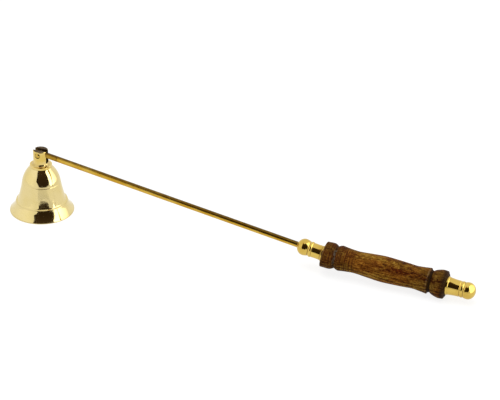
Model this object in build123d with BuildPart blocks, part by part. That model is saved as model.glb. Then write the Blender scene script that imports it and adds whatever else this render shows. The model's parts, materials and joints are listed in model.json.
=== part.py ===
from build123d import *

import os
from math import asin, atan2, cos, degrees, hypot, radians, sin

os.makedirs("parts", exist_ok=True)

# Candle snuffer, in millimetres, as it lies on a table: the bell stands on its mouth at the -X end and
# the handle's rear cap rests on the table at the +X end. Z is up and the table is Z = 0. The snuffer is
# symmetric about Y = 0, and the origin is under the middle of its length.

# Bell
mouth_radius = 19.15
crown_height = 29.3
bell_wall = 1.3
crown_wall = 1.5
rim_width = 1.4
rim_height = 0.45
rim_fillet = 0.2
crown_ledge = 0.3
crown_step = 0.6
# Radius as a share of the mouth's radius, height as a share of the crown's height.
flare_middle_share = (0.8885, 0.104)
flare_top_share = (0.8015, 0.2335)
waist_bottom_share = (0.75, 0.246)
waist_middle_share = (0.667, 0.4486)
waist_top_share = (0.6, 0.6567)
dome_middle_share = (0.525, 0.8225)
ring_groove_depth = 0.12
ring_groove_width = 0.4

# Yoke, turned with a foot that sits on the bell's crown and a threaded tail that goes through it
yoke_height = 10.65
foot_radius = 6.6
foot_height = 1.35
foot_edge = 0.15
flare_height = 1.55
neck_radius = 4.46
neck_top_fillet = 0.4
slot_width = 3.0
slot_depth = 7.75
hinge_drop = 2.35
tail_radius = 2.0
tail_proud = 0.7
tail_chamfer = 0.3
# How far the neck's flare stands below and inside its corner, as shares of its run and rise.
flare_belly_share = (0.78, 0.3)

# Nut inside the bell
nut_flats = 7.0
nut_height = 2.4
nut_chamfer = 0.5

# Hinge rivet
rivet_radius = 0.95
rivet_head_radius = 1.5
rivet_head_height = 0.6
spot_radius = 1.65
spot_depth = 0.3
pin_clearance = 0.05

# Rod
rod_radius = 1.7
tongue_length = 9.9
tongue_height = 3.2
slot_clearance = 0.1
joint_reach = 180.6
rod_socket_depth = 8.0

# Brass ends: the front ferrule on the rod and the rear finial on the wood
ferrule_length = 16.4
ferrule_foot_radius = 4.65
ferrule_foot_side_radius = 4.33
ferrule_waist_radius = 4.2
ferrule_bead_side_radius = 4.27
finial_length = 16.7
finial_foot_radius = 5.3
finial_foot_side_radius = 5.08
finial_waist_radius = 4.7
finial_bead_side_radius = 4.57
ball_radius = 4.87
foot_thickness = 1.1
foot_cove = 0.2
ball_half_length_share = 0.88
# The turned heads, as shares of the ball's radius: place from the ball's centre towards the foot, radius
# about the axis. In order: ball's edge, groove, bead's start, peak and end, fine groove, body's start.
ferrule_head_shares = [
    (0.565, 0.88),
    (0.63, 0.83),
    (0.69, 0.865),
    (0.875, 0.94),
    (1.018, 0.88),
    (1.06, 0.84),
    (1.1, 0.877),
]
finial_head_shares = [
    (0.39, 0.94),
    (0.445, 0.895),
    (0.5, 0.915),
    (0.69, 0.96),
    (0.85, 0.915),
    (0.9, 0.88),
    (0.95, 0.938),
]

# Steel studs, threaded into the brass ends and into the wood
stud_radius = 1.7
stud_metal_depth = 6.5
stud_wood_depth = 18.0
stud_tip = 3.0
stud_chamfer = 0.4

# Wooden handle, set a little flatter than the rod
handle_length = 72.7
cap_radius = 8.15
set_angle = 6.04
# Place from the front face as a share of the length, radius as a share of the rear cap's radius.
front_cap_share = (0.0, 0.915)
front_cap_end_share = (0.052, 0.935)
front_cap_round_share = (0.081, 0.89)
front_groove_share = (0.099, 0.785)
front_groove_end_share = (0.107, 0.79)
barrel_front_share = (0.122, 0.865)
barrel_shoulder_share = (0.1375, 0.898)
barrel_outline_shares = [
    (0.2, 0.826),
    (0.271, 0.785),
    (0.385, 0.858),
    (0.483, 0.914),
    (0.5915, 0.888),
    (0.688, 0.84),
    (0.743, 0.81),
    (0.8, 0.85),
    (0.857, 0.912),
]
rear_groove_start_share = (0.863, 0.81)
rear_groove_share = (0.88, 0.75)
rear_cap_side_shares = [(0.894, 0.845), (0.926, 0.95)]
rear_cap_widest_share = 0.957
rear_rim_share = (0.989, 0.974)
rear_face_share = 0.8

# Shared clearances
fit_gap = 0.05
end_gap = 0.5
overrun = 2.0

# Places worked out from the sizes
pin_height = crown_height + yoke_height - hinge_drop
cap_place = rear_cap_widest_share * handle_length
set_turn = radians(set_angle)
# The cap's lowest point seen from the hinge, along the rod and square to it, decides how far the rod
# dips when that point rests on the table.
touch_run = joint_reach + cap_place * cos(set_turn) + cap_radius * sin(set_turn)
touch_rise = cap_place * sin(set_turn) - cap_radius * cos(set_turn)
rod_dip = asin(pin_height / hypot(touch_run, touch_rise)) + atan2(touch_rise, touch_run)
handle_dip = rod_dip - set_turn
rod_direction = Vector(cos(rod_dip), 0, -sin(rod_dip))
handle_direction = Vector(cos(handle_dip), 0, -sin(handle_dip))
reach_over_table = joint_reach * cos(rod_dip) + (handle_length + finial_length) * cos(handle_dip)
bell_x = mouth_radius - (mouth_radius + reach_over_table) / 2
pin_centre = Vector(bell_x, 0, pin_height)
joint_centre = pin_centre + rod_direction * joint_reach
handle_end = joint_centre + handle_direction * handle_length
tongue_thickness = slot_width - 2 * slot_clearance
slot_floor = crown_height + yoke_height - slot_depth
spot_y = neck_radius - spot_depth


def side_plane(origin, along):
    """Plane of symmetry with its x axis along a direction in XZ, for outlines seen from -Y."""
    return Plane(origin=origin, x_dir=along, z_dir=(0, -1, 0))


def square_plane(origin, along):
    """Plane square to a direction in XZ."""
    return Plane(origin=origin, x_dir=(0, 1, 0), z_dir=along)


def on_bell(share):
    """Radius and height on the bell's outline."""
    return (share[0] * mouth_radius, share[1] * crown_height)


def inset(point, before, after, depth):
    """The point moved towards the bell's axis, square to the line between its neighbours."""
    run = hypot(after[0] - before[0], after[1] - before[1])
    return (
        point[0] - depth * (after[1] - before[1]) / run,
        point[1] + depth * (after[0] - before[0]) / run,
    )


bell_plane = side_plane((bell_x, 0, 0), (1, 0, 0))
bell_axis = Axis((bell_x, 0, 0), (0, 0, 1))

# Bell cup: a turned shell. Outside it flares to the lip below a small step, and a dome closes the top.
flare_middle = on_bell(flare_middle_share)
flare_top = on_bell(flare_top_share)
waist_bottom = on_bell(waist_bottom_share)
waist_middle = on_bell(waist_middle_share)
waist_top = on_bell(waist_top_share)
dome_middle = on_bell(dome_middle_share)
mouth_edge = (mouth_radius, rim_height)
groove_top = (waist_top[0], waist_top[1] + ring_groove_width)
groove_bottom = (waist_top[0] - ring_groove_depth, waist_top[1] + ring_groove_width / 2)
dome_top = (foot_radius + crown_ledge, crown_height - crown_step)
inner_mouth = (mouth_radius - rim_width, 0)
inner_flare = inset(flare_middle, mouth_edge, flare_top, bell_wall)
inner_step = inset(waist_bottom, waist_bottom, waist_middle, bell_wall)
inner_waist = inset(waist_middle, waist_bottom, waist_top, bell_wall)
inner_waist_top = inset(waist_top, waist_middle, dome_middle, bell_wall)
inner_dome = inset(dome_middle, waist_top, dome_top, bell_wall)
inner_crown = (dome_top[0] - bell_wall, crown_height - crown_wall)
tail_hole = tail_radius + fit_gap

with BuildPart() as bell_cup:
    with BuildSketch(bell_plane):
        with BuildLine():
            ThreePointArc(mouth_edge, flare_middle, flare_top)
            Line(flare_top, waist_bottom)
            ThreePointArc(waist_bottom, waist_middle, waist_top)
            Polyline(waist_top, groove_bottom, groove_top)
            ThreePointArc(groove_top, dome_middle, dome_top)
            Polyline(
                dome_top,
                (foot_radius, crown_height),
                (tail_hole, crown_height),
                (tail_hole, crown_height - crown_wall),
                inner_crown,
            )
            ThreePointArc(inner_crown, inner_dome, inner_waist_top)
            ThreePointArc(inner_waist_top, inner_waist, inner_step)
            ThreePointArc(inner_step, inner_flare, inner_mouth)
            Polyline(inner_mouth, (mouth_radius, 0), mouth_edge)
        make_face()
    revolve(axis=bell_axis)
    rim = bell_cup.edges().filter_by(GeomType.CIRCLE).group_by(Axis.Z)[0]
    fillet(rim, rim_fillet)
bell_cup.part.label = "bell_cup"
export_step(bell_cup.part, "parts/bell_cup.step")

# Yoke: foot ring, flare and slotted neck in one turning, crossed by the hinge hole.
foot_top = crown_height + foot_height
neck_bottom = foot_top + flare_height
neck_top = crown_height + yoke_height
tail_end = crown_height - crown_wall - nut_height - tail_proud
flare_start = foot_radius - foot_edge
flare_middle_point = (
    flare_start - flare_belly_share[0] * (flare_start - neck_radius),
    foot_top + flare_belly_share[1] * flare_height,
)

with BuildPart() as bell_yoke:
    with BuildSketch(bell_plane):
        with BuildLine():
            Polyline(
                (0, tail_end),
                (tail_radius - tail_chamfer, tail_end),
                (tail_radius, tail_end + tail_chamfer),
                (tail_radius, crown_height),
                (foot_radius, crown_height),
                (foot_radius, foot_top - foot_edge),
                (flare_start, foot_top),
            )
            ThreePointArc((flare_start, foot_top), flare_middle_point, (neck_radius, neck_bottom))
            Polyline(
                (neck_radius, neck_bottom),
                (neck_radius, neck_top),
                (0, neck_top),
                (0, tail_end),
            )
        make_face()
    revolve(axis=bell_axis)
    top_edge = bell_yoke.edges().filter_by(GeomType.CIRCLE).group_by(Axis.Z)[-1]
    fillet(top_edge, neck_top_fillet)
    with BuildSketch(Plane((bell_x, 0, slot_floor))):
        Rectangle(2 * (foot_radius + overrun), slot_width)
    extrude(amount=slot_depth + overrun, mode=Mode.SUBTRACT)
    with BuildSketch(side_plane(pin_centre, (1, 0, 0))):
        Circle(rivet_radius + fit_gap)
    extrude(amount=neck_radius + overrun, both=True, mode=Mode.SUBTRACT)
    for side in (-1, 1):
        with BuildSketch(Plane((bell_x, side * spot_y, pin_height), x_dir=(1, 0, 0), z_dir=(0, side, 0))):
            Circle(spot_radius)
        extrude(amount=spot_depth + overrun, mode=Mode.SUBTRACT)
bell_yoke.part.label = "bell_yoke"
export_step(bell_yoke.part, "parts/bell_yoke.step")

# Nut: hexagon, with its lower corners turned off, drawn up against the crown from inside.
nut_top = crown_height - crown_wall
nut_bottom = nut_top - nut_height
nut_corner = nut_flats / 2 / cos(radians(30))

with BuildPart() as yoke_nut:
    with BuildSketch(Plane((bell_x, 0, nut_bottom))):
        RegularPolygon(nut_flats / 2, side_count=6, major_radius=False)
        Circle(tail_radius + fit_gap, mode=Mode.SUBTRACT)
    extrude(amount=nut_height)
    with BuildSketch(bell_plane):
        with BuildLine():
            Polyline(
                (0, nut_bottom),
                (nut_corner - nut_chamfer, nut_bottom),
                (nut_corner, nut_bottom + nut_chamfer),
                (nut_corner, nut_top),
                (0, nut_top),
                close=True,
            )
        make_face()
    revolve(axis=bell_axis, mode=Mode.INTERSECT)
yoke_nut.part.label = "yoke_nut"
export_step(yoke_nut.part, "parts/yoke_nut.step")

# Hinge rivet: a pin across the slot with a low domed head on the spot face at each end.
rivet_plane = Plane(origin=pin_centre, x_dir=(0, 1, 0), z_dir=(1, 0, 0))
head_sphere_radius = (rivet_head_radius**2 + rivet_head_height**2) / (2 * rivet_head_height)
head_turn = asin(rivet_head_radius / head_sphere_radius) / 2
head_middle = (
    spot_y + rivet_head_height - head_sphere_radius * (1 - cos(head_turn)),
    head_sphere_radius * sin(head_turn),
)

with BuildPart() as hinge_rivet:
    with BuildSketch(rivet_plane):
        with BuildLine():
            Polyline(
                (0, 0),
                (0, rivet_radius),
                (spot_y, rivet_radius),
                (spot_y, rivet_head_radius),
            )
            ThreePointArc((spot_y, rivet_head_radius), head_middle, (spot_y + rivet_head_height, 0))
            Line((spot_y + rivet_head_height, 0), (0, 0))
        make_face()
    revolve(axis=Axis(pin_centre, (0, 1, 0)))
    mirror(about=Plane.XZ)
hinge_rivet.part.label = "hinge_rivet"
export_step(hinge_rivet.part, "parts/hinge_rivet.step")

# Rod: round, with four flats at the bell's end that make the tongue, rounded about the hinge.
rod_side = side_plane(pin_centre, rod_direction)
rod_end = joint_reach - ferrule_length + rod_socket_depth

with BuildPart() as rod:
    with BuildSketch(rod_side):
        Circle(tongue_height / 2)
        with Locations((tongue_length / 2, 0)):
            Rectangle(tongue_length, tongue_height)
    extrude(amount=tongue_thickness / 2, both=True)
    with BuildSketch(square_plane(pin_centre - rod_direction * tongue_height, rod_direction)):
        Circle(rod_radius)
    extrude(amount=tongue_height + tongue_length, mode=Mode.INTERSECT)
    with BuildSketch(square_plane(pin_centre + rod_direction * tongue_length, rod_direction)):
        Circle(rod_radius)
    extrude(amount=rod_end - tongue_length)
    with BuildSketch(rod_side):
        Circle(rivet_radius + pin_clearance)
    extrude(amount=tongue_thickness, both=True, mode=Mode.SUBTRACT)
rod.part.label = "rod"
export_step(rod.part, "parts/rod.step")


def turned_end(plane, length, radii, head_shares):
    """Brass end turned about the plane's x axis, from its foot on the wood to the tip of its ball."""
    foot, foot_side, waist, bead_side = radii
    half_length = ball_half_length_share * ball_radius
    centre = length - half_length
    head = [(centre - share[0] * ball_radius, share[1] * ball_radius) for share in head_shares]
    ball_side, groove, bead_start, bead_peak, bead_end, fine_groove, body_start = head
    body_foot = foot_thickness + foot_cove
    with BuildPart() as piece:
        with BuildSketch(plane):
            with BuildLine():
                Polyline((0, 0), (0, foot), (foot_thickness, foot), (body_foot, foot_side))
                ThreePointArc(
                    (body_foot, foot_side),
                    ((body_foot + body_start[0]) / 2, waist),
                    (body_start[0], bead_side),
                )
                Polyline((body_start[0], bead_side), fine_groove, bead_end)
                ThreePointArc(bead_end, bead_peak, bead_start)
                Polyline(bead_start, groove, ball_side)
                TangentArc((centre, ball_radius), ball_side, tangent=(-1, 0))
                EllipticalCenterArc((centre, 0), half_length, ball_radius, arc_size=90)
                Line((centre + half_length, 0), (0, 0))
            make_face()
        revolve(axis=Axis(plane.origin, plane.x_dir))
        foot_edges = piece.edges().filter_by(GeomType.CIRCLE)
        fillet(foot_edges.filter_by(lambda edge: abs(edge.radius - foot) < fit_gap), foot_cove)
    return piece.part


# Front ferrule: its ball faces the bell and takes the rod; a stud screws in from the wood's side.
ferrule_plane = side_plane(joint_centre, -rod_direction)
ferrule_tip = joint_centre - rod_direction * ferrule_length
ferrule_radii = (
    ferrule_foot_radius,
    ferrule_foot_side_radius,
    ferrule_waist_radius,
    ferrule_bead_side_radius,
)

with BuildPart() as front_ferrule:
    add(turned_end(ferrule_plane, ferrule_length, ferrule_radii, ferrule_head_shares))
    with BuildSketch(square_plane(ferrule_tip, rod_direction)):
        Circle(rod_radius + fit_gap)
    extrude(amount=rod_socket_depth, mode=Mode.SUBTRACT)
    with BuildSketch(square_plane(joint_centre, -rod_direction)):
        Circle(stud_radius + fit_gap)
    extrude(amount=stud_metal_depth + end_gap, mode=Mode.SUBTRACT)
front_ferrule.part.label = "front_ferrule"
export_step(front_ferrule.part, "parts/front_ferrule.step")

# Rear finial: the same turning with its ball outwards, tapped from the wood's side only.
finial_plane = side_plane(handle_end, handle_direction)
finial_radii = (
    finial_foot_radius,
    finial_foot_side_radius,
    finial_waist_radius,
    finial_bead_side_radius,
)

with BuildPart() as rear_finial:
    add(turned_end(finial_plane, finial_length, finial_radii, finial_head_shares))
    with BuildSketch(square_plane(handle_end, handle_direction)):
        Circle(stud_radius + fit_gap)
    extrude(amount=stud_metal_depth + end_gap, mode=Mode.SUBTRACT)
rear_finial.part.label = "rear_finial"
export_step(rear_finial.part, "parts/rear_finial.step")


def double_stud(plane):
    """Stud along the plane's x axis: a square end in the brass behind the origin, a point in the wood."""
    with BuildPart() as piece:
        with BuildSketch(plane):
            with BuildLine():
                Polyline(
                    (-stud_metal_depth, 0),
                    (-stud_metal_depth, stud_radius - stud_chamfer),
                    (-stud_metal_depth + stud_chamfer, stud_radius),
                    (stud_wood_depth - stud_tip, stud_radius),
                    (stud_wood_depth, 0),
                    close=True,
                )
            make_face()
        revolve(axis=Axis(plane.origin, plane.x_dir))
    return piece.part


# Front stud: in line with the ferrule, so it enters the wood at the handle's set angle.
with BuildPart() as front_stud:
    add(double_stud(side_plane(joint_centre, rod_direction)))
front_stud.part.label = "front_stud"
export_step(front_stud.part, "parts/front_stud.step")

# Rear stud: in line with the handle.
with BuildPart() as rear_stud:
    add(double_stud(side_plane(handle_end, -handle_direction)))
rear_stud.part.label = "rear_stud"
export_step(rear_stud.part, "parts/rear_stud.step")


def on_wood(share):
    """Place and radius on the wood's outline."""
    return (share[0] * handle_length, share[1] * cap_radius)


# Handle: one turning with a cap and a groove at each end of a bellied barrel. Its front face is cut
# square to the ferrule, so the outline starts a little ahead of the joint and is trimmed there.
front_start = (-overrun, front_cap_share[1] * cap_radius)
rear_groove = on_wood(rear_groove_share)
rear_cap_side = [on_wood(share) for share in rear_cap_side_shares]
rear_groove_rise = (rear_cap_side[0][0] - rear_groove[0], rear_cap_side[0][1] - rear_groove[1])
cap_widest = (cap_place, cap_radius)
rear_rim = (rear_rim_share[0] * handle_length, rear_rim_share[1] * cap_radius)
rear_face = (handle_length, rear_face_share * cap_radius)
barrel = [on_wood(share) for share in [barrel_shoulder_share, *barrel_outline_shares]]

with BuildPart() as handle:
    with BuildSketch(side_plane(joint_centre, handle_direction)):
        with BuildLine():
            Polyline((-overrun, 0), front_start, on_wood(front_cap_end_share))
            ThreePointArc(
                on_wood(front_cap_end_share),
                on_wood(front_cap_round_share),
                on_wood(front_groove_share),
            )
            Polyline(
                on_wood(front_groove_share),
                on_wood(front_groove_end_share),
                on_wood(barrel_front_share),
                on_wood(barrel_shoulder_share),
            )
            Spline(barrel)
            Polyline(barrel[-1], on_wood(rear_groove_start_share), rear_groove)
            Spline([rear_groove, *rear_cap_side, cap_widest], tangents=[rear_groove_rise, (1, 0)])
            TangentArc(cap_widest, rear_rim, tangent=(1, 0))
            Polyline(rear_rim, rear_face, (handle_length, 0), (-overrun, 0))
        make_face()
    revolve(axis=Axis(joint_centre, handle_direction))
    split(bisect_by=square_plane(joint_centre, rod_direction), keep=Keep.TOP)
    with BuildSketch(square_plane(joint_centre, rod_direction)):
        Circle(stud_radius + fit_gap)
    extrude(amount=stud_wood_depth + end_gap, mode=Mode.SUBTRACT)
    with BuildSketch(square_plane(handle_end, -handle_direction)):
        Circle(stud_radius + fit_gap)
    extrude(amount=stud_wood_depth + end_gap, mode=Mode.SUBTRACT)
handle.part.label = "handle"
export_step(handle.part, "parts/handle.step")

print("pin", tuple(round(value, 3) for value in pin_centre))
print("joint", tuple(round(value, 3) for value in joint_centre))
print("handle end", tuple(round(value, 3) for value in handle_end))
print("rod dip", round(degrees(rod_dip), 3), "handle dip", round(degrees(handle_dip), 3))
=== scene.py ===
"""Candle snuffer on a pale table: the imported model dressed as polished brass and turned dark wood.

Metres, Z up. The bell stands on its mouth at the -X end and the handle's rear cap rests on the table.
"""

import json
from math import asin, atan2, cos, hypot, pi, radians, sin, tan

import bmesh
import bpy
import numpy as np
from mathutils import Matrix, Vector

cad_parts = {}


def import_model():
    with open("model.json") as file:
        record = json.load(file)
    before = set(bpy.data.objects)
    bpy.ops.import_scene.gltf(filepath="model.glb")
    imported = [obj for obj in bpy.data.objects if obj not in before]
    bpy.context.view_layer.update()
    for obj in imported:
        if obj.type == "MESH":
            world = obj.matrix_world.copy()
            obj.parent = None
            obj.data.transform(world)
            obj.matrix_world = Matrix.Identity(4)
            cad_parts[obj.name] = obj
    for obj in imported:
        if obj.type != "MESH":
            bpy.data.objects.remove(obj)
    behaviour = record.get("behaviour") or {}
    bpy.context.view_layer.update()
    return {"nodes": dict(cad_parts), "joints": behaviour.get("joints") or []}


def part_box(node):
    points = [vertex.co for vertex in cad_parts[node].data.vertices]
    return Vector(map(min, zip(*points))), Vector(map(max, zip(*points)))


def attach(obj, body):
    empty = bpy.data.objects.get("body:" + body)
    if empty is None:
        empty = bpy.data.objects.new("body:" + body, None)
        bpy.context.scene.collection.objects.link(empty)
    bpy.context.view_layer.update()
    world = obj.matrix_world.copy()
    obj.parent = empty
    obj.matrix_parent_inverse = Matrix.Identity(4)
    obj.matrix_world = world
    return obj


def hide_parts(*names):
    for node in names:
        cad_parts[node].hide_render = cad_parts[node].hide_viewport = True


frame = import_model()

MM = 0.001

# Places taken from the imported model
bell_low, bell_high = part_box("bell_cup")
yoke_low, yoke_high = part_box("bell_yoke")
nut_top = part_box("yoke_nut")[1].z
pin = Vector(frame["joints"][0]["pos_m"])
mouth_radius = (bell_high.y - bell_low.y) / 2
crown_height = bell_high.z
yoke_top = yoke_high.z
bell_foot = Vector((pin.x, 0, 0))

# Bell
bell_wall = 1.3 * MM
crown_wall = crown_height - nut_top
rim_width = 1.4 * MM
rim_height = 0.45 * MM
crown_ledge = 0.3 * MM
crown_step = 0.6 * MM
# Radius as a share of the mouth's radius, height as a share of the crown's height.
flare_middle_share = (0.8885, 0.104)
flare_top_share = (0.8015, 0.2335)
waist_bottom_share = (0.75, 0.246)
waist_middle_share = (0.667, 0.4486)
waist_top_share = (0.6, 0.6567)
dome_middle_share = (0.525, 0.8225)
ring_groove_depth = 0.12 * MM
ring_groove_width = 0.4 * MM

# Yoke
foot_radius = (yoke_high.y - yoke_low.y) / 2
foot_height = 1.35 * MM
foot_edge = 0.15 * MM
flare_height = 1.55 * MM
neck_radius = 4.46 * MM
neck_top_round = 0.4 * MM
slot_width = 3.0 * MM
slot_depth = 7.75 * MM
tail_radius = 2.0 * MM
flare_belly_share = (0.78, 0.3)
spot_radius = 1.65 * MM
spot_depth = 0.3 * MM
pin_hole_radius = 1.0 * MM

# Rivet
rivet_radius = 0.95 * MM
rivet_head_radius = 1.5 * MM
rivet_head_height = 0.6 * MM

# Rod
rod_radius = 1.7 * MM
tongue_length = 9.9 * MM
tongue_height = 3.2 * MM
tongue_thickness = 2.8 * MM
# Where the painted shade line lies along the rod, its core and edge, and how the painted shade over the
# flattened end fades
tongue_line = 11.1 * MM
line_core = 0.2 * MM
line_edge = 0.55 * MM
tongue_shade_fade = 0.3 * MM
tongue_steps = 60
rod_step = 2 * MM
joint_reach = 180.6 * MM
rod_socket_depth = 8.0 * MM

# Brass ends
ferrule_length = 16.4 * MM
ferrule_radii = (4.65 * MM, 4.33 * MM, 4.2 * MM, 4.27 * MM)
finial_length = 16.7 * MM
finial_radii = (5.3 * MM, 5.08 * MM, 4.7 * MM, 4.57 * MM)
ball_radius = 4.87 * MM
foot_thickness = 1.1 * MM
foot_cove = 0.2 * MM
ball_half_length_share = 0.88
# Shares of the ball's radius: place from the ball's centre towards the foot, radius about the axis.
# In order: ball's edge, groove, bead's start, peak and end, fine groove, body's start.
ferrule_head_shares = [(0.565, 0.88), (0.63, 0.83), (0.69, 0.865), (0.875, 0.94)]
ferrule_head_shares += [(1.018, 0.88), (1.06, 0.84), (1.1, 0.877)]
finial_head_shares = [(0.39, 0.94), (0.445, 0.895), (0.5, 0.915), (0.69, 0.96)]
finial_head_shares += [(0.85, 0.915), (0.9, 0.88), (0.95, 0.938)]
stud_hole_radius = 1.75 * MM
stud_metal_depth = 7.0 * MM
stud_wood_depth = 18.5 * MM
fit_gap = 0.05 * MM
ball_steps = 48

# Handle
handle_length = 72.7 * MM
cap_radius = 8.15 * MM
set_angle = radians(6.04)
# Place as a share of the length, radius as a share of the rear cap's radius.
front_cap_shares = [(0.0, 0.915), (0.052, 0.935), (0.081, 0.89), (0.099, 0.785)]
barrel_start_shares = [(0.107, 0.79), (0.122, 0.865)]
barrel_shares = [(0.1375, 0.898), (0.2, 0.826), (0.271, 0.785), (0.385, 0.858), (0.483, 0.914)]
barrel_shares += [(0.5915, 0.888), (0.688, 0.84), (0.743, 0.81), (0.8, 0.85), (0.857, 0.912)]
rear_groove_shares = [(0.863, 0.81)]
rear_cap_shares = [(0.88, 0.75), (0.894, 0.845), (0.926, 0.95), (0.957, 1.0), (0.989, 0.974)]
rear_cap_widest_share = 0.957
rear_face_share = 0.8

# The cap's lowest point rests on the table, which sets how far the rod and the handle dip.
cap_place = rear_cap_widest_share * handle_length
touch_run = joint_reach + cap_place * cos(set_angle) + cap_radius * sin(set_angle)
touch_rise = cap_place * sin(set_angle) - cap_radius * cos(set_angle)
rod_dip = asin(pin.z / hypot(touch_run, touch_rise)) + atan2(touch_rise, touch_run)
handle_dip = rod_dip - set_angle
rod_direction = Vector((cos(rod_dip), 0, -sin(rod_dip)))
handle_direction = Vector((cos(handle_dip), 0, -sin(handle_dip)))
joint_centre = pin + rod_direction * joint_reach
handle_end = joint_centre + handle_direction * handle_length


# Outlines: lists of (place along the axis, radius)
def on_handle(shares):
    """Points given as shares of the handle's length and of the rear cap's radius."""
    return [(place * handle_length, share * cap_radius) for place, share in shares]


def arc(start, middle, end, count=24):
    """Points on the circle through three points, from the first to the last."""
    a, b, c = complex(*start), complex(*middle), complex(*end)
    ratio = (c - a) / (b - a)
    centre = a + (b - a) * (ratio - abs(ratio) ** 2) / (2j * ratio.imag)
    first = a - centre
    turn = np.angle((c - centre) / first)
    if np.angle((b - centre) / first) * turn < 0:
        turn -= np.sign(turn) * 2 * pi
    points = centre + first * np.exp(1j * turn * np.linspace(0, 1, count))
    return list(zip(points.real, points.imag))


def curve(points, count=24):
    """A smooth curve through the points."""
    points = np.array(points)
    ends = [2 * points[0] - points[1], *points, 2 * points[-1] - points[-2]]
    steps = np.linspace(0, 1, count, endpoint=False)[:, None]
    drawn = []
    for before, start, end, after in zip(ends, ends[1:], ends[2:], ends[3:]):
        run = np.linalg.norm(end - start)
        leave = (end - before) * run / (np.linalg.norm(start - before) + run)
        arrive = (after - start) * run / (np.linalg.norm(after - end) + run)
        drawn += list(
            start
            + leave * steps
            + (3 * (end - start) - 2 * leave - arrive) * steps**2
            + (2 * (start - end) + leave + arrive) * steps**3
        )
    return [tuple(point) for point in drawn] + [tuple(points[-1])]


def even(points, step):
    """The outline at an even step."""
    points = np.array(points)
    points = points[np.r_[True, np.linalg.norm(np.diff(points, axis=0), axis=1) > 0]]
    run = np.r_[0, np.cumsum(np.linalg.norm(np.diff(points, axis=0), axis=1))]
    places = np.linspace(0, run[-1], int(run[-1] / step) + 2)
    return np.column_stack([np.interp(places, run, points[:, 0]), np.interp(places, run, points[:, 1])])


def softened(points, reach):
    """Evenly spaced points with every corner rounded over a reach, counted in points."""
    weights = np.hanning(2 * reach + 3)[1:-1]
    weights /= weights.sum()
    before = 2 * points[0] - points[reach:0:-1]
    after = 2 * points[-1] - points[-2 : -reach - 2 : -1]
    longer = np.vstack([before, points, after])
    return np.column_stack([np.convolve(longer[:, k], weights, mode="valid") for k in (0, 1)])


def thinned(points, longest, sharpest):
    """The points that a smooth outline needs: closer where it turns, and never past the longest step."""
    kept = [0]
    heading = np.unwrap(np.arctan2(*np.diff(points, axis=0).T[::-1]))
    bend = np.r_[0, np.cumsum(np.abs(np.diff(heading))), 0]
    bend[-1] = bend[-2]
    step = np.linalg.norm(points[1] - points[0])
    for i in range(1, len(points) - 1):
        if bend[i] - bend[kept[-1]] > sharpest or (i - kept[-1]) * step > longest:
            kept.append(i)
    return points[kept + [len(points) - 1]]


# How fine an outline is, and how far its corners are worn round, counted in fine steps
fine_step = 0.025 * MM
tiny_step = fine_step / 100
merge_distance = MM / 1000
edge_reach = 5
end_edge_reach = 4
small_edge_reach = 3
longest_step = 0.7 * MM
sharpest_turn = radians(6)
# The relief is measured over a reach, and is full where a point stands out by this share of it.
relief_share = 0.2
fine_relief = 0.6 * MM
wood_relief = 1.3 * MM


def finished(points, reach=edge_reach):
    """A drawn outline with its corners worn round, ready for turning."""
    return thinned(softened(even(points, fine_step), reach), longest_step, sharpest_turn)


# Node trees
class Nodes:
    """Adds nodes to a tree. An input is given as a value, or as the socket that feeds it."""

    def __init__(self, tree):
        self.tree = tree

    def add(self, kind, inputs=(), **settings):
        node = self.tree.nodes.new(kind)
        for name, value in settings.items():
            setattr(node, name, value)
        for key, value in dict(inputs).items():
            self.feed(node.inputs[key], value)
        return node

    def feed(self, socket, value):
        """Sets a socket or feeds it from another. A colour is given without its alpha."""
        if isinstance(value, bpy.types.NodeSocket):
            self.tree.links.new(value, socket)
        else:
            socket.default_value = (*value, 1) if socket.type == "RGBA" else value

    def math(self, operation, *values):
        return self.add("ShaderNodeMath", dict(enumerate(values)), operation=operation).outputs[0]

    def product(self, first, *others):
        for other in others:
            first = self.math("MULTIPLY", first, other)
        return first

    def whole(self, operation, *values):
        return self.add("FunctionNodeIntegerMath", dict(enumerate(values)), operation=operation).outputs[0]


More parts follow.
